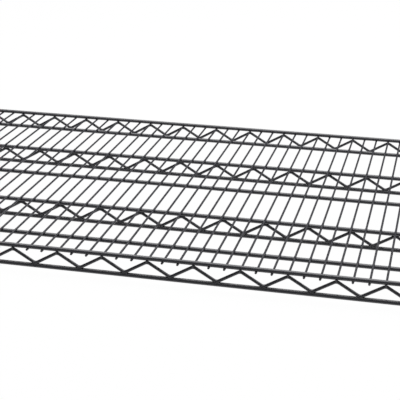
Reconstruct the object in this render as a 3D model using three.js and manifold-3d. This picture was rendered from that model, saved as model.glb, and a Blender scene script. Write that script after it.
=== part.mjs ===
// One welded wire shelf of a shelving rack: a deck of thin wires on cross rods and laced
// trusses, with a tapered collar for a rack post at each corner.
// Millimetres, +Z up, X along the length. The origin is the centre of the footprint, at the
// foot of the collars.
import * as THREE from 'three';
import { mergeVertices } from 'three/addons/utils/BufferGeometryUtils.js';
import Module from 'manifold-3d';

const wasm = await Module();
wasm.setup();

// Overall sizes, over the collars
const LENGTH = 914.4;
const DEPTH = 609.6;
const COLLAR_HEIGHT = 38;

// Wire gauges, as radii
const RAIL_R = 2.8;
const LACING_R = 2.0;
const DECK_R = 1.4;

// Layout
const WIRE_PITCH = 19.05;
const DECK_WIRE_COUNT = 44;
const DECK_Z = 30.5; // centres of the deck wires
const LACING_PITCH = 3 * WIRE_PITCH;
const LACING_RISE = 14.8; // between the centres of an upper and a lower bend
const BEND_R = 6; // centre line of a bend
const SET_DOWN = 1.0; // how far crossing wires are pressed into each other at a weld
const RAIL_INSET = 12.5; // outermost collar face to the centre line of the outer rails
const COLLAR_INSET = 18.5; // outermost collar face to the collar's axis
const INNER_TRUSS_Y = 115.3;
const OUTER_ROD_Y = 233.7;
const STUB = 1.5; // a cross wire's end stands this far outside the rail that it is welded to
const CLEAR = 0.3; // gap between two pieces that touch

// Collar outline
const BORE_TOP_R = 14.2;
const BORE_FOOT_R = 15.2;
const COLLAR_TOP_R = 17.4;
const COLLAR_WAIST_R = 17.0;
const RIM_HEIGHT = 3;
const COLLAR_SEGMENTS = 20;

// Number of flats on each wire's section
const RAIL_SIDES = 8;
const THIN_WIRE_SIDES = 6;

// Places worked out from the sizes above
const RAIL_Y = DEPTH / 2 - RAIL_INSET;
const SIDE_X = LENGTH / 2 - RAIL_INSET;
const COLLAR_X = LENGTH / 2 - COLLAR_INSET;
const COLLAR_Y = DEPTH / 2 - COLLAR_INSET;
const CROSS_END_X = SIDE_X + RAIL_R + STUB;
const DECK_END_Y = RAIL_Y + RAIL_R + STUB;
const RAIL_TO_LACING = RAIL_R + LACING_R - SET_DOWN;
const OUTER_RAIL_Z = DECK_Z + RAIL_R + DECK_R - SET_DOWN;
const CROSS_Z = DECK_Z - RAIL_R - DECK_R + SET_DOWN;
const SIDE_RAIL_Z = CROSS_Z + 2 * RAIL_R - SET_DOWN;
const OUTER_LACING_Z = DECK_Z - DECK_R - LACING_R + SET_DOWN;
const INNER_LACING_Z = CROSS_Z - RAIL_TO_LACING;
const TOP_BEND_X = -WIRE_PITCH / 2; // an upper bend of each lacing that runs along X
const SIDE_TOP_BEND_Y = LACING_PITCH / 2;

const coating = new THREE.MeshStandardMaterial({ color: 0x17171a, roughness: 0.38, metalness: 0.25 });

// Radius of a polygon's corners when its flats touch a circle of the given radius
const cornerRadius = (radius, sides) => radius / Math.cos(Math.PI / sides);

function toSolid(geometry) {
  const bare = geometry.clone();
  bare.deleteAttribute('normal');
  bare.deleteAttribute('uv');
  const merged = mergeVertices(bare);
  return new wasm.Manifold(new wasm.Mesh({
    numProp: 3,
    vertProperties: new Float32Array(merged.attributes.position.array),
    triVerts: new Uint32Array(merged.index.array),
  }));
}

function toGeometry(solid) {
  const { vertProperties, triVerts } = solid.getMesh();
  const geometry = new THREE.BufferGeometry();
  geometry.setAttribute('position', new THREE.BufferAttribute(vertProperties, 3));
  geometry.setIndex(new THREE.BufferAttribute(triVerts, 1));
  geometry.computeVertexNormals();
  return geometry;
}

// A straight wire along Y with flats above and below
function barAlongY(radius, sides, halfLength) {
  const corner = cornerRadius(radius, sides);
  return new THREE.CylinderGeometry(corner, corner, 2 * halfLength, sides, 1, false, Math.PI / sides);
}

function barAlongX(radius, sides, halfLength) {
  return barAlongY(radius, sides, halfLength).rotateZ(-Math.PI / 2);
}

// The room that a rail along X takes out of a wire that it crosses
function railRoom(y, z) {
  return toSolid(barAlongX(RAIL_R + CLEAR, RAIL_SIDES, LENGTH / 2).translate(0, y, z));
}

// The collar's outer outline, from its foot up
function collarOutline(gap) {
  return [
    [COLLAR_INSET, 0], [COLLAR_INSET, RIM_HEIGHT], [COLLAR_WAIST_R, 2 * RIM_HEIGHT],
    [COLLAR_WAIST_R, COLLAR_HEIGHT - RIM_HEIGHT], [COLLAR_TOP_R, COLLAR_HEIGHT],
  ].map(([radius, z]) => new THREE.Vector2(radius + gap, z));
}

const lathe = (outline) => new THREE.LatheGeometry(outline, COLLAR_SEGMENTS).rotateX(Math.PI / 2);

// Cuts both ends of a perimeter piece to fit its two collars. The piece lies along X with the
// inside of the shelf at +Y, and collarHalf is half the distance between the collars' axes.
function fitToCollars(piece, collarHalf) {
  const foot = new THREE.Vector2(0, 0);
  const top = new THREE.Vector2(0, COLLAR_HEIGHT);
  const room = toSolid(lathe([foot, ...collarOutline(CLEAR), top])).translate(0, COLLAR_INSET - RAIL_INSET, 0);
  return piece.subtract(room.translate(-collarHalf, 0, 0)).subtract(room.translate(collarHalf, 0, 0));
}

// A path through corners, with one ring of the section at each corner
class CornerPath extends THREE.Curve {
  constructor(corners) {
    super();
    this.corners = corners;
  }

  getPointAt(u) {
    const place = u * (this.corners.length - 1);
    const i = Math.min(Math.floor(place), this.corners.length - 2);
    return this.corners[i].clone().lerp(this.corners[i + 1], place - i);
  }

  getTangentAt(u) {
    const last = this.corners.length - 1;
    const i = Math.round(u * last);
    const direction = (k) => this.corners[k + 1].clone().sub(this.corners[k]).normalize();
    const before = direction(Math.max(i - 1, 0));
    const after = direction(Math.min(i, last - 1));
    return before.add(after).normalize();
  }
}

// Half the flat that stands for a bend: it touches the arc at the apex, and its ends lie on
// the straight legs. From tan(angle) = rise / (half pitch - 2 x flat), flat = BEND_R tan(angle / 2).
function bendFlat() {
  const run = LACING_PITCH / 2;
  const spare = 4 * BEND_R - LACING_RISE;
  return BEND_R * (run - Math.sqrt(run * run - spare * LACING_RISE)) / spare;
}

// Height of the lacing's centre line at x, with its upper bends at height 0
function lacingHeight(x, topBendX) {
  const run = LACING_PITCH / 2;
  const flat = bendFlat();
  const bend = Math.round((x - topBendX) / run);
  const away = Math.max(Math.abs(x - topBendX - bend * run) - flat, 0);
  const drop = away * LACING_RISE / (run - 2 * flat);
  return bend % 2 === 0 ? -drop : drop - LACING_RISE;
}

// The zigzag wire along X, from -halfLength to halfLength
function lacing(halfLength, topBendX, z) {
  const run = LACING_PITCH / 2;
  const flat = bendFlat();
  const stations = [-halfLength];
  for (let bend = Math.ceil((-halfLength - topBendX) / run); topBendX + bend * run < halfLength; bend += 1) {
    for (const x of [topBendX + bend * run - flat, topBendX + bend * run + flat]) {
      if (Math.abs(x) < halfLength - LACING_R) stations.push(x);
    }
  }
  stations.push(halfLength);
  const corners = stations.map((x) => new THREE.Vector3(x, 0, z + lacingHeight(x, topBendX)));
  const section = new THREE.Shape();
  for (let side = 0; side < THIN_WIRE_SIDES; side += 1) {
    const angle = side * 2 * Math.PI / THIN_WIRE_SIDES;
    const radius = cornerRadius(LACING_R, THIN_WIRE_SIDES);
    const point = [radius * Math.cos(angle), radius * Math.sin(angle)];
    if (side === 0) section.moveTo(...point);
    else section.lineTo(...point);
  }
  return toSolid(new THREE.ExtrudeGeometry(section, {
    steps: corners.length - 1, extrudePath: new CornerPath(corners), bevelEnabled: false }));
}

function railAlongX(halfLength, z) {
  return toSolid(barAlongX(RAIL_R, RAIL_SIDES, halfLength).translate(0, 0, z));
}

// A zigzag wire with the rail under it
function lacedRail(laceHalf, railHalf, topBendX, lacingZ) {
  const railZ = lacingZ - LACING_RISE - RAIL_TO_LACING;
  return lacing(laceHalf, topBendX, lacingZ).add(railAlongX(railHalf, railZ));
}

const innerFootZ = INNER_LACING_Z - LACING_RISE - RAIL_TO_LACING;
const crossRodYs = [-OUTER_ROD_Y, 0, OUTER_ROD_Y];
const innerTrussYs = [-INNER_TRUSS_Y, INNER_TRUSS_Y];
const firstDeckX = -(DECK_WIRE_COUNT - 1) / 2 * WIRE_PITCH;
const deckXs = Array.from({ length: DECK_WIRE_COUNT }, (_, i) => firstDeckX + i * WIRE_PITCH);

// Every deck wire is seated under the two outer rails and on the five cross members
function deckWireGeometry() {
  let wire = toSolid(barAlongY(DECK_R, THIN_WIRE_SIDES, DECK_END_Y).translate(0, 0, DECK_Z));
  for (const y of [-RAIL_Y, RAIL_Y]) wire = wire.subtract(railRoom(y, OUTER_RAIL_Z));
  for (const y of [...crossRodYs, ...innerTrussYs]) wire = wire.subtract(railRoom(y, CROSS_Z));
  return toGeometry(wire);
}

// The front and rear trusses' lower part. Its upper bends are seated under the deck wires.
function outerLacedRail() {
  let truss = lacedRail(COLLAR_X, COLLAR_X, TOP_BEND_X, OUTER_LACING_Z);
  const wireRoom = toSolid(barAlongY(DECK_R + CLEAR, THIN_WIRE_SIDES, 2 * LACING_R));
  for (const x of deckXs) {
    const offBend = Math.abs(x - TOP_BEND_X) % LACING_PITCH;
    const overBend = Math.min(offBend, LACING_PITCH - offBend) < WIRE_PITCH / 2;
    if (overBend) truss = truss.subtract(wireRoom.translate(x, 0, DECK_Z));
  }
  return toGeometry(fitToCollars(truss, COLLAR_X));
}

// An inner truss: its top rail carries the deck, and both rails pass under the side trusses
function innerTruss() {
  const laceHalf = SIDE_X - RAIL_R - CLEAR - LACING_R;
  const truss = lacedRail(laceHalf, CROSS_END_X, TOP_BEND_X, INNER_LACING_Z)
    .add(railAlongX(CROSS_END_X, CROSS_Z));
  return toGeometry(truss);
}

// A side truss, modelled along X and turned into place. It is seated on the cross members.
function sideTruss() {
  let truss = lacedRail(COLLAR_Y, COLLAR_Y, SIDE_TOP_BEND_Y, OUTER_LACING_Z)
    .add(railAlongX(COLLAR_Y, SIDE_RAIL_Z));
  const memberRoom = toSolid(barAlongY(RAIL_R + CLEAR, RAIL_SIDES, 2 * RAIL_R));
  const upperMembers = [...crossRodYs, ...innerTrussYs].map((y) => [y, CROSS_Z]);
  const lowerMembers = innerTrussYs.map((y) => [y, innerFootZ]);
  for (const [y, z] of [...upperMembers, ...lowerMembers]) truss = truss.subtract(memberRoom.translate(y, 0, z));
  return toGeometry(fitToCollars(truss, COLLAR_Y));
}

// A tapered sleeve with a flat rim at its foot and at its top
function collarGeometry() {
  const foot = new THREE.Vector2(BORE_FOOT_R, 0);
  const top = new THREE.Vector2(BORE_TOP_R, COLLAR_HEIGHT);
  return lathe([foot, ...collarOutline(0), top, foot]);
}

const group = new THREE.Group();

function place(name, geometry, x = 0, y = 0, turn = 0) {
  const mesh = new THREE.Mesh(geometry, coating.clone());
  mesh.name = name;
  mesh.position.set(x, y, 0);
  mesh.rotation.z = turn;
  group.add(mesh);
}

const deckWire = deckWireGeometry();
deckXs.forEach((x, i) => place(`deck_wire_${String(i + 1).padStart(2, '0')}`, deckWire, x));

const crossRod = barAlongX(RAIL_R, RAIL_SIDES, CROSS_END_X).translate(0, 0, CROSS_Z);
['front', 'middle', 'rear'].forEach((name, i) => place(`cross_rod_${name}`, crossRod, 0, crossRodYs[i]));

const outerRail = toGeometry(fitToCollars(railAlongX(COLLAR_X, OUTER_RAIL_Z), COLLAR_X));
const lacedRailGeometry = outerLacedRail();
for (const [side, y, turn] of [['front', -RAIL_Y, 0], ['rear', RAIL_Y, Math.PI]]) {
  place(`${side}_top_rail`, outerRail, 0, y, turn);
  place(`${side}_laced_rail`, lacedRailGeometry, 0, y, turn);
}

const inner = innerTruss();
place('inner_truss_front', inner, 0, -INNER_TRUSS_Y);
place('inner_truss_rear', inner, 0, INNER_TRUSS_Y);

const side = sideTruss();
place('left_truss', side, -SIDE_X, 0, -Math.PI / 2);
place('right_truss', side, SIDE_X, 0, Math.PI / 2);

const collar = collarGeometry();
for (const [along, x] of [['left', -COLLAR_X], ['right', COLLAR_X]]) {
  for (const [across, y] of [['front', -COLLAR_Y], ['rear', COLLAR_Y]]) {
    place(`collar_${across}_${along}`, collar, x, y);
  }
}

export default group;
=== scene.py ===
# A welded wire shelf of a shelving rack, in black powder coat: 44 deck wires on three cross rods and
# two inner trusses, a laced truss on each side, and a tapered collar for a post at each corner.
# Metres, +Z up, in the CAD model's frame. The places and lengths of the wires and collars are read
# from the CAD nodes' boxes. The sizes that the boxes don't give, the camera and the lights are named
# values here.
import math
import random

import bpy
from mathutils import Matrix, Vector


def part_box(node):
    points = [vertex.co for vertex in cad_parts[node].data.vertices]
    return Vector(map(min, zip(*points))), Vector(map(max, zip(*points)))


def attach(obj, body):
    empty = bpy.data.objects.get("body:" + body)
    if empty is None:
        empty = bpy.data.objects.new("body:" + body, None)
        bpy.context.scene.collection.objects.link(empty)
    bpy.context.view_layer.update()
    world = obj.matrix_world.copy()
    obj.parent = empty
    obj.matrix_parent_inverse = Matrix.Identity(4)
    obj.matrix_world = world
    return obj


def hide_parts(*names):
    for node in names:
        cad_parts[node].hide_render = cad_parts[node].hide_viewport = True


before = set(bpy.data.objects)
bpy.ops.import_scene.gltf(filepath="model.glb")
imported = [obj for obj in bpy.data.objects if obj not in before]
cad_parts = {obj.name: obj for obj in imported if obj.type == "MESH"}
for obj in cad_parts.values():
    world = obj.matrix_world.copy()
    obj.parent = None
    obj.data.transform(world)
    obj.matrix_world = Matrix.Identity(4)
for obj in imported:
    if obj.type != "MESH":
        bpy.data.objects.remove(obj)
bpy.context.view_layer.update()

MM = 0.001

# Sizes that the CAD boxes don't give
LACING_R = 2.0 * MM
BEND_R = 6.0 * MM  # centre line of a bend in the lacing
SET_DOWN = 1.0 * MM  # how far crossing wires are pressed into each other at a weld
CUT_EDGE = 0.35 * MM  # how far the coating rounds over the edge of a sheared end
CUT_SPREAD = 0.35 * MM  # how much shorter than in the CAD an end of a deck wire may be

# Number of faces around each wire's section, and around a collar
RAIL_SIDES = 24
LACING_SIDES = 16
DECK_SIDES = 12
COLLAR_SIDES = 72


def middle(node):
    low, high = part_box(node)
    return (low + high) / 2


def half_size(node):
    low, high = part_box(node)
    return (high - low) / 2


# Places read from the frame
RAIL_R = half_size("front_top_rail").z
RAIL_Y = middle("rear_top_rail").y
OUTER_RAIL_Z = middle("front_top_rail").z
OUTER_FOOT_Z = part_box("front_laced_rail")[0].z + RAIL_R
DECK_R = half_size("deck_wire_01").z
DECK_Z = middle("deck_wire_01").z
CROSS_Z = middle("cross_rod_middle").z
CROSS_HALF = half_size("cross_rod_middle").x
INNER_Y = middle("inner_truss_rear").y
INNER_FOOT_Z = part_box("inner_truss_rear")[0].z + RAIL_R
OUTER_ROD_Y = middle("cross_rod_rear").y
SIDE_X = middle("right_truss").x
SIDE_RAIL_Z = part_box("right_truss")[1].z - RAIL_R
COLLAR_R = half_size("collar_rear_right").x
COLLAR_HEIGHT = 2 * half_size("collar_rear_right").z
COLLAR_X = middle("collar_rear_right").x
COLLAR_Y = middle("collar_rear_right").y

deck_nodes = sorted(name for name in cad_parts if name.startswith("deck_wire"))
WIRE_PITCH = middle(deck_nodes[1]).x - middle(deck_nodes[0]).x
RUN = 1.5 * WIRE_PITCH  # along the lacing, from an upper bend to the next lower one
RAIL_TO_LACING = RAIL_R + LACING_R - SET_DOWN
OUTER_LACING_Z = DECK_Z - DECK_R - LACING_R + SET_DOWN
LACED_WIRE = 21  # counted from 0: one of the deck wires that the lacings' upper bends lie under
TOP_BEND_X = middle(deck_nodes[LACED_WIRE]).x

# Swelling of a wire at a weld
WELD_REACH = 2.6 * MM  # how far from a crossing its weld swells the wire
WELD_SWELL = 0.42 * MM
WELD_LEAST = 0.75  # of WELD_SWELL, in the weakest weld
WELD_MOST = 1.15  # and in the strongest one
WELD_SIDEWAYS = 0.55  # of the swelling towards the wire that is crossed
WELD_RINGS = (-8, -6, -5, -4, -3, -2, 0, 2, 3, 4, 5, 6, 8)  # in quarters of WELD_REACH
RING_GAP = 0.1 * MM  # least distance between a weld's first ring and the ring before it

# Swelling of the lacing at its bends, where it is welded to a rail or to a deck wire
BEND_SWELL = 0.45 * WELD_SWELL
BEND_SIDEWAYS = 1.3  # of BEND_SWELL
BEND_STEPS = 4  # rings on each side of a bend's middle
LEG_RINGS = (0.12, 0.5, 0.88)  # along a straight leg, from 0 to 1

# A perimeter rail's end in the wall of its collar, and the fillet of weld around it
WALL_DEPTH = 0.85  # of the collar's radius, from its middle to the rail's end
FILLET_REACH = 4.5 * MM
FILLET_SIZE = 1.5 * MM
FILLET_STEPS = 6

SHARP_ANGLE = math.radians(42)  # faces that meet at more than this keep a crease between them

# Random numbers: each wire has a seed of its own, and a deck wire's is its place in the row
CROSS_ROD_SEED = 100
INNER_TRUSS_SEED = 400


# ---------------------------------------------------------------- wires


class Station:
    """One ring of a wire that lies along local X in the XZ plane: its place, its slope, and its
    radius sideways, upwards and downwards."""

    def __init__(self, x, z, radius, slope=0.0):
        self.x = x
        self.z = z
        self.slope = slope
        self.side = radius
        self.up = radius
        self.down = radius

    def swell(self, amount, up, down):
        """The weld's flash: a little wider, and fuller towards the wire that is crossed."""
        self.side += amount
        self.up += up
        self.down += down

    def level(self, x):
        """Height at x of the straight line that runs through this ring along its slope."""
        return self.z + (x - self.x) * math.tan(self.slope)


def tube(stations, sides):
    """Vertices and faces of a closed tube through the stations, with a flat cap at each end."""
    points = []
    for s in stations:
        upward = Vector((-math.sin(s.slope), 0, math.cos(s.slope)))
        for k in range(sides):
            angle = 2 * math.pi * k / sides
            rise = math.sin(angle)
            radius = s.up if rise > 0 else s.down
            points.append(Vector((s.x, s.side * math.cos(angle), s.z)) + upward * radius * rise)
    faces = [tuple(range(sides))]
    for ring in range(len(stations) - 1):
        for k in range(sides):
            a = ring * sides + k
            b = ring * sides + (k + 1) % sides
            faces.append((a, a + sides, b + sides, b))
    last = (len(stations) - 1) * sides
    faces.append(tuple(reversed(range(last, last + sides))))
    return points, faces


def rounded_end(start, z, radius, inward, slope=0.0):
    """The rings of a sheared wire end, from its face inwards, with its edge rounded by the coating."""
    rings = []
    for turn in (math.radians(a) for a in (0, 30, 60, 90)):
        step = CUT_EDGE * (1 - math.cos(turn)) * inward
        shrink = CUT_EDGE * (1 - math.sin(turn))
        x = start + step * math.cos(slope)
        rings.append(Station(x, z + step * math.sin(slope), radius - shrink, slope))
    return rings


def flared_end(start, z, radius, inward):
    """The rings of a rail end that is welded to a collar, with the fillet of weld around it."""
    rings = []
    for k in range(FILLET_STEPS + 1):
        along = k / FILLET_STEPS
        fillet = (1 - math.sin(along * math.pi / 2)) * FILLET_SIZE
        rings.append(Station(start + inward * FILLET_REACH * along, z, radius + fillet))
    return rings


def straight_wire(low, high, z, radius, ends, welds=(), rng=None):
    """Stations of a straight wire from low to high. ends makes the two ends' rings. welds are
    (place, side), with side +1 where the wire that is crossed is above and -1 where it is below, and
    rng varies their sizes."""
    stations = ends(low, z, radius, 1)
    spread = [k * 0.25 * WELD_REACH for k in WELD_RINGS]
    for place, side in sorted(welds):
        size = WELD_SWELL * rng.uniform(WELD_LEAST, WELD_MOST)
        for offset in spread:
            if not stations[-1].x + RING_GAP < place + offset < high - 2 * radius:
                continue
            station = Station(place + offset, z, radius)
            near = math.exp(-(offset / WELD_REACH) ** 2)
            station.swell(WELD_SIDEWAYS * size * near, size * near * (side > 0), size * near * (side < 0))
            stations.append(station)
    return stations + list(reversed(ends(high, z, radius, -1)))


def lacing_slope(rise):
    """Angle of the lacing's straight legs, where arcs of BEND_R turn between them over the given rise."""
    spare = 4 * BEND_R - rise
    return 2 * math.atan((RUN - math.sqrt(RUN * RUN - spare * rise)) / spare)


def lacing(low, high, top_z, foot_z, top_bend, ends):
    """Stations of the zigzag wire from low to high, with its centre line between foot_z and top_z and
    an upper bend at top_bend. ends adds the two ends' rings."""
    slope = lacing_slope(top_z - foot_z)
    bend_half = BEND_R * math.sin(slope)
    bend_height = BEND_R * (1 - math.cos(slope))
    leg = RUN - 2 * bend_half
    path = []
    index = math.floor((low - top_bend) / RUN) - 1
    while top_bend + index * RUN < high + 2 * RUN:
        x = top_bend + index * RUN
        is_top = index % 2 == 0
        direction = 1 if is_top else -1
        bend_z = top_z if is_top else foot_z
        for k in range(-BEND_STEPS, BEND_STEPS + 1):
            angle = slope * k / BEND_STEPS
            z = bend_z - BEND_R * (1 - math.cos(angle)) * direction
            station = Station(x + BEND_R * math.sin(angle), z, LACING_R, -angle * direction)
            size = BEND_SWELL * math.cos(math.pi / 2 * k / (BEND_STEPS + 1)) ** 2
            station.swell(BEND_SIDEWAYS * size, size * is_top, size * (not is_top))
            path.append(station)
        for part in LEG_RINGS:
            z = bend_z - bend_height * direction - leg * part * math.tan(slope) * direction
            path.append(Station(x + bend_half + leg * part, z, LACING_R, -slope * direction))
        index += 1
    clear = 1.5 * LACING_R
    inside = [s for s in path if low + clear < s.x < high - clear]
    return ends(inside, low, high)


def run_on(inside, low, high):
    """Ends of a lacing that runs straight on, into the wall of a collar."""
    first, last = inside[0], inside[-1]
    start = Station(low, first.level(low), LACING_R, first.slope)
    stop = Station(high, last.level(high), LACING_R, last.slope)
    return [start, *inside, stop]


def cut_off(inside, low, high):
    """Sheared ends of a lacing, wherever in its run low and high cut it."""
    first, last = inside[0], inside[-1]
    start = rounded_end(low, first.level(low), LACING_R, 1, first.slope)
    stop = rounded_end(high, last.level(high), LACING_R, -1, last.slope)
    return [*start, *inside, *reversed(stop)]


# ---------------------------------------------------------------- pieces


def mesh_from(points, faces, name):
    mesh = bpy.data.meshes.new(name)
    mesh.from_pydata(points, [], faces)
    mesh.validate()
    return mesh


def joined(tubes, name):
    """One closed mesh of several wires that are welded together."""
    base = bpy.data.objects.new(name, mesh_from(*tubes[0], name))
    bpy.context.scene.collection.objects.link(base)
    others = []
    for k, part in enumerate(tubes[1:]):
        other = bpy.data.objects.new(f"{name}_{k}", mesh_from(*part, name))
        bpy.context.scene.collection.objects.link(other)
        weld = base.modifiers.new("weld", "BOOLEAN")
        weld.operation = "UNION"
        weld.solver = "MANIFOLD"
        weld.object = other
        others.append(other)
    bpy.context.view_layer.update()
    mesh = bpy.data.meshes.new_from_object(base.evaluated_get(bpy.context.evaluated_depsgraph_get()))
    for spare in [base, *others]:
        bpy.data.objects.remove(spare)
    return mesh


def add_piece(node, mesh, material, place):
    """Puts a finished mesh in the place of its CAD node."""
    mesh.transform(place)
    mesh.shade_smooth()
    mesh.set_sharp_from_angle(angle=SHARP_ANGLE)
    mesh.materials.clear()
    mesh.materials.append(material)
    piece = bpy.data.objects.new(node + "_coated", mesh)
    bpy.context.scene.collection.objects.link(piece)
    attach(piece, "root")
    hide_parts(node)


def placed(x, y, turn=0.0):
    return Matrix.Translation((x, y, 0)) @ Matrix.Rotation(turn, 4, "Z")


def deck_wires(material):
    welds = [(-RAIL_Y, 1), (RAIL_Y, 1)]
    welds += [(y, -1) for y in (-OUTER_ROD_Y, -INNER_Y, 0.0, INNER_Y, OUTER_ROD_Y)]
    for number, node in enumerate(deck_nodes):
        rng = random.Random(number)
        half = half_size(node).y
        front, rear = (half - rng.uniform(0, CUT_SPREAD) for _ in range(2))
        # Modelled along X, so local X becomes Y when it is turned into place
        stations = straight_wire(-front, rear, DECK_Z, DECK_R, rounded_end, welds, rng)
        mesh = mesh_from(*tube(stations, DECK_SIDES), node)
        add_piece(node, mesh, material, placed(middle(node).x, 0, math.pi / 2))


# Where the cross rods and the inner trusses' rails lie on the side trusses
SIDE_WELDS = [(-SIDE_X, 1), (SIDE_X, 1)]


def cross_rods(material):
    for number, node in enumerate(("cross_rod_front", "cross_rod_middle", "cross_rod_rear")):
        rng = random.Random(CROSS_ROD_SEED + number)
        stations = straight_wire(-CROSS_HALF, CROSS_HALF, CROSS_Z, RAIL_R, rounded_end, SIDE_WELDS, rng)
        mesh = mesh_from(*tube(stations, RAIL_SIDES), node)
        add_piece(node, mesh, material, placed(0, middle(node).y))


def inner_trusses(material):
    lace_top = CROSS_Z - RAIL_TO_LACING
    lace_foot = INNER_FOOT_Z + RAIL_TO_LACING
    lace_end = SIDE_X - RAIL_R - LACING_R
    for number, node in enumerate(("inner_truss_front", "inner_truss_rear")):
        rng = random.Random(INNER_TRUSS_SEED + number)
        rails = [
            tube(straight_wire(-CROSS_HALF, CROSS_HALF, z, RAIL_R, rounded_end, SIDE_WELDS, rng), RAIL_SIDES)
            for z in (CROSS_Z, INNER_FOOT_Z)
        ]
        lace = tube(lacing(-lace_end, lace_end, lace_top, lace_foot, TOP_BEND_X, cut_off), LACING_SIDES)
        add_piece(node, joined([*rails, lace], node), material, placed(0, middle(node).y))


# The perimeter's pieces are modelled with the shelf's inside towards +Y, and turned into place


def collar_wall(collar_half):
    """Where a perimeter piece's end lies in the wall of the collar that it meets."""
    return collar_half - WALL_DEPTH * COLLAR_R


def perimeter_rail(end, z):
    return tube(straight_wire(-end, end, z, RAIL_R, flared_end), RAIL_SIDES)


def perimeter_lacing(end, top_bend):
    foot_bend = OUTER_FOOT_Z + RAIL_TO_LACING
    return tube(lacing(-end, end, OUTER_LACING_Z, foot_bend, top_bend, run_on), LACING_SIDES)


def top_rails(material):
    for node, turn in (("front_top_rail", 0.0), ("rear_top_rail", math.pi)):
        mesh = mesh_from(*perimeter_rail(collar_wall(COLLAR_X), OUTER_RAIL_Z), node)
        add_piece(node, mesh, material, placed(0, middle(node).y, turn))


def laced_rails(material):
    end = collar_wall(COLLAR_X)
    for node, turn in (("front_laced_rail", 0.0), ("rear_laced_rail", math.pi)):
        mesh = joined([perimeter_rail(end, OUTER_FOOT_Z), perimeter_lacing(end, TOP_BEND_X)], node)
        add_piece(node, mesh, material, placed(0, middle(node).y, turn))


def side_trusses(material):
    end = collar_wall(COLLAR_Y)
    for node, turn in (("left_truss", -math.pi / 2), ("right_truss", math.pi / 2)):
        rails = [perimeter_rail(end, z) for z in (SIDE_RAIL_Z, OUTER_FOOT_Z)]
        mesh = joined([*rails, perimeter_lacing(end, RUN)], node)
        add_piece(node, mesh, material, placed(middle(node).x, 0, turn))


def arc(radius, height, size, start, stop, steps=6):
    """Points of an arc in a lathe profile, about (radius, height)."""
    angles = [math.radians(start + (stop - start) * k / steps) for k in range(steps + 1)]
    return [(radius + size * math.cos(a), height + size * math.sin(a)) for a in angles]


def collar_outline():
    """Closed profile of a collar, as (radius, height): its foot, the rim there, a hollow above the
    rim, the waist, a lip at the top, and the tapered bore."""
    bore_foot = 15.2 * MM
    bore_top = 14.2 * MM
    bore_edge = 0.5 * MM
    edge = 0.8 * MM
    rim_height = 3 * MM
    hollow = 2.2 * MM
    hollow_height = 6.4 * MM
    waist = COLLAR_R - 1.5 * MM
    lip = COLLAR_R - 1.1 * MM
    return [
        *arc(bore_foot + bore_edge, bore_edge, bore_edge, 180, 270, 4),
        *arc(COLLAR_R - edge, edge, edge, 270, 360),
        *arc(COLLAR_R - edge, rim_height - edge, edge, 0, 50),
        *arc(waist + hollow, hollow_height, hollow, 232, 180),
        (waist, COLLAR_HEIGHT / 2),
        (waist, COLLAR_HEIGHT - 5 * MM),
        (waist + 0.15 * MM, COLLAR_HEIGHT - 3 * MM),
        *arc(lip - edge, COLLAR_HEIGHT - edge, edge, 0, 90),
        *arc(bore_top + bore_edge, COLLAR_HEIGHT - bore_edge, bore_edge, 90, 180, 4),
    ]


def lathe(outline, sides):
    """Vertices and faces of a closed profile turned about Z."""
    points = []
    faces = []
    count = len(outline)
    for k in range(sides):
        angle = 2 * math.pi * k / sides
        points += [Vector((r * math.cos(angle), r * math.sin(angle), z)) for r, z in outline]
        here = k * count
        there = (k + 1) % sides * count
        for j in range(count):
            after = (j + 1) % count
            faces.append((here + j, there + j, there + after, here + after))
    return points, faces


def collars(material):
    for node in ("collar_front_left", "collar_rear_left", "collar_front_right", "collar_rear_right"):
        mesh = mesh_from(*lathe(collar_outline(), COLLAR_SIDES), node)
        add_piece(node, mesh, material, placed(middle(node).x, middle(node).y))


# ---------------------------------------------------------------- materials


def noise(tree, scale, detail):
    """A noise texture in the object's own coordinates."""
    texture = tree.nodes.new("ShaderNodeTexNoise")
    texture.inputs["Scale"].default_value = scale
    texture.inputs["Detail"].default_value = detail
    place = tree.nodes.new("ShaderNodeTexCoord").outputs["Object"]
    tree.links.new(place, texture.inputs["Vector"])
    return texture


def powder_coat(name, peel_size, peel_depth, dark, light, rough_low, rough_high):
    """Black powder coat: a faint mottle in its colour and gloss, and an orange-peel skin."""
    material = bpy.data.materials.new(name)
    material.use_nodes = True
    tree = material.node_tree
    nodes, links = tree.nodes, tree.links
    shader = nodes["Principled BSDF"]
    shader.inputs["IOR"].default_value = 1.5

    mottle = noise(tree, scale=90, detail=5)
    mottle.inputs["Roughness"].default_value = 0.6
    colour = nodes.new("ShaderNodeMix")
    colour.data_type = "RGBA"
    colour.inputs["A"].default_value = (*dark, 1)
    colour.inputs["B"].default_value = (*light, 1)
    links.new(mottle.outputs["Fac"], colour.inputs["Factor"])
    links.new(colour.outputs["Result"], shader.inputs["Base Color"])

    gloss = noise(tree, scale=240, detail=3)
    roughness = nodes.new("ShaderNodeMapRange")
    roughness.inputs["From Min"].default_value = 0.3
    roughness.inputs["From Max"].default_value = 0.7
    roughness.inputs["To Min"].default_value = rough_low
    roughness.inputs["To Max"].default_value = rough_high
    links.new(gloss.outputs["Fac"], roughness.inputs["Value"])
    links.new(roughness.outputs["Result"], shader.inputs["Roughness"])

    peel = noise(tree, scale=1 / peel_size, detail=2)
    bump = nodes.new("ShaderNodeBump")
    bump.inputs["Strength"].default_value = 1
    bump.inputs["Distance"].default_value = peel_depth
    links.new(peel.outputs["Fac"], bump.inputs["Height"])
    links.new(bump.outputs["Normal"], shader.inputs["Normal"])
    return material


# ---------------------------------------------------------------- studio

# White that isn't brighter than the picture's own white, so thin wires keep their soft edges in it
PAPER_GLOW = 0.98
SHEET_GLOW = 1.0
FLOOR_HALF = 12

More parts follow.
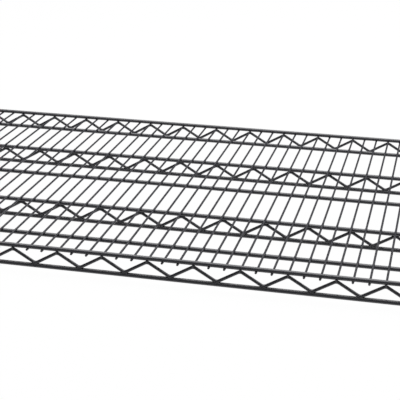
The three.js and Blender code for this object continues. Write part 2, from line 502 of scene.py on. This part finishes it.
# The room that the wires reflect: brightness by height, from straight down at 0 to straight up at 1
ROOM_GLOW = 1.6
ROOM_LEVELS = ((0.0, 1.0), (0.25, 0.7), (0.45, 0.05), (0.66, 0.05), (1.0, 0.6))

SOFTBOX_PLACE = (0.5, 0.6, 1.7)
SOFTBOX_SIZE = (3.2, 2.6)
SOFTBOX_POWER = 115

CAMERA_PLACE = (0.38361, -1.5326, 0.56548)
CAMERA_HEADING = math.radians(12.3736)
CAMERA_TILT = math.radians(19.5614)  # downwards
CAMERA_ROLL = math.radians(-0.9575)
CAMERA_WIDTH = 36  # mm of its picture
CAMERA_LENS = 103.66  # mm


def paper_floor():
    """A white floor that glows by itself and isn't seen in the wires' reflections."""
    corners = [(x * FLOOR_HALF, y * FLOOR_HALF, 0) for x, y in ((-1, -1), (1, -1), (1, 1), (-1, 1))]
    floor = bpy.data.objects.new("floor", mesh_from(corners, [(0, 1, 2, 3)], "floor"))
    paper = bpy.data.materials.new("white_paper")
    paper.use_nodes = True
    shader = paper.node_tree.nodes["Principled BSDF"]
    shader.inputs["Base Color"].default_value = (0.01, 0.01, 0.01, 1)
    shader.inputs["Roughness"].default_value = 0.95
    shader.inputs["Specular IOR Level"].default_value = 0
    shader.inputs["Emission Color"].default_value = (1, 1, 1, 1)
    shader.inputs["Emission Strength"].default_value = PAPER_GLOW
    floor.data.materials.append(paper)
    floor.visible_glossy = False
    bpy.context.scene.collection.objects.link(floor)


def room():
    """A world that is plain white to the camera, and to every other ray a room with a dark horizon."""
    world = bpy.data.worlds.new("studio")
    world.use_nodes = True
    nodes, links = world.node_tree.nodes, world.node_tree.links
    sheet = nodes.new("ShaderNodeBackground")
    sheet.inputs["Color"].default_value = (1, 1, 1, 1)
    sheet.inputs["Strength"].default_value = SHEET_GLOW

    direction = nodes.new("ShaderNodeTexCoord").outputs["Generated"]
    parts = nodes.new("ShaderNodeSeparateXYZ")
    links.new(direction, parts.inputs[0])
    height = nodes.new("ShaderNodeMapRange")
    height.inputs["From Min"].default_value = -1
    links.new(parts.outputs["Z"], height.inputs["Value"])
    ramp = nodes.new("ShaderNodeValToRGB")
    links.new(height.outputs["Result"], ramp.inputs["Fac"])
    elements = ramp.color_ramp.elements
    while len(elements) < len(ROOM_LEVELS):
        elements.new(0.5)
    for element, (place, level) in zip(elements, ROOM_LEVELS):
        element.position = place
        element.color = (level, level, level, 1)
    surroundings = nodes["Background"]
    surroundings.inputs["Strength"].default_value = ROOM_GLOW
    links.new(ramp.outputs["Color"], surroundings.inputs["Color"])

    seen = nodes.new("ShaderNodeLightPath").outputs["Is Camera Ray"]
    mix = nodes.new("ShaderNodeMixShader")
    links.new(seen, mix.inputs["Fac"])
    links.new(surroundings.outputs[0], mix.inputs[1])
    links.new(sheet.outputs[0], mix.inputs[2])
    links.new(mix.outputs[0], nodes["World Output"].inputs["Surface"])
    bpy.context.scene.world = world


def softbox():
    lamp = bpy.data.lights.new("overhead_softbox", "AREA")
    lamp.shape = "RECTANGLE"
    lamp.size, lamp.size_y = SOFTBOX_SIZE
    lamp.energy = SOFTBOX_POWER
    light = bpy.data.objects.new("overhead_softbox", lamp)
    light.location = SOFTBOX_PLACE
    bpy.context.scene.collection.objects.link(light)


def camera():
    lens = bpy.data.cameras.new("camera")
    lens.sensor_width = CAMERA_WIDTH
    lens.lens = CAMERA_LENS
    eye = bpy.data.objects.new("camera", lens)
    eye.matrix_world = (
        Matrix.Translation(CAMERA_PLACE)
        @ Matrix.Rotation(CAMERA_HEADING, 4, "Z")
        @ Matrix.Rotation(math.pi / 2 - CAMERA_TILT, 4, "X")
        @ Matrix.Rotation(-CAMERA_ROLL, 4, "Z")
    )
    bpy.context.scene.collection.objects.link(eye)
    bpy.context.scene.camera = eye
    bpy.context.scene.view_settings.view_transform = "Standard"


# ---------------------------------------------------------------- the scene

camera()
paper_floor()
room()
softbox()

wire_coating = powder_coat(
    "wire_powder_coat",
    peel_size=0.9 * MM,
    peel_depth=0.012 * MM,
    dark=(0.010, 0.010, 0.013),
    light=(0.019, 0.019, 0.024),
    rough_low=0.28,
    rough_high=0.40,
)
collar_coating = powder_coat(
    "collar_powder_coat",
    peel_size=1.4 * MM,
    peel_depth=0.03 * MM,
    dark=(0.011, 0.011, 0.014),
    light=(0.021, 0.021, 0.026),
    rough_low=0.32,
    rough_high=0.46,
)

deck_wires(wire_coating)
cross_rods(wire_coating)
top_rails(wire_coating)
laced_rails(wire_coating)
inner_trusses(wire_coating)
side_trusses(wire_coating)
collars(collar_coating)
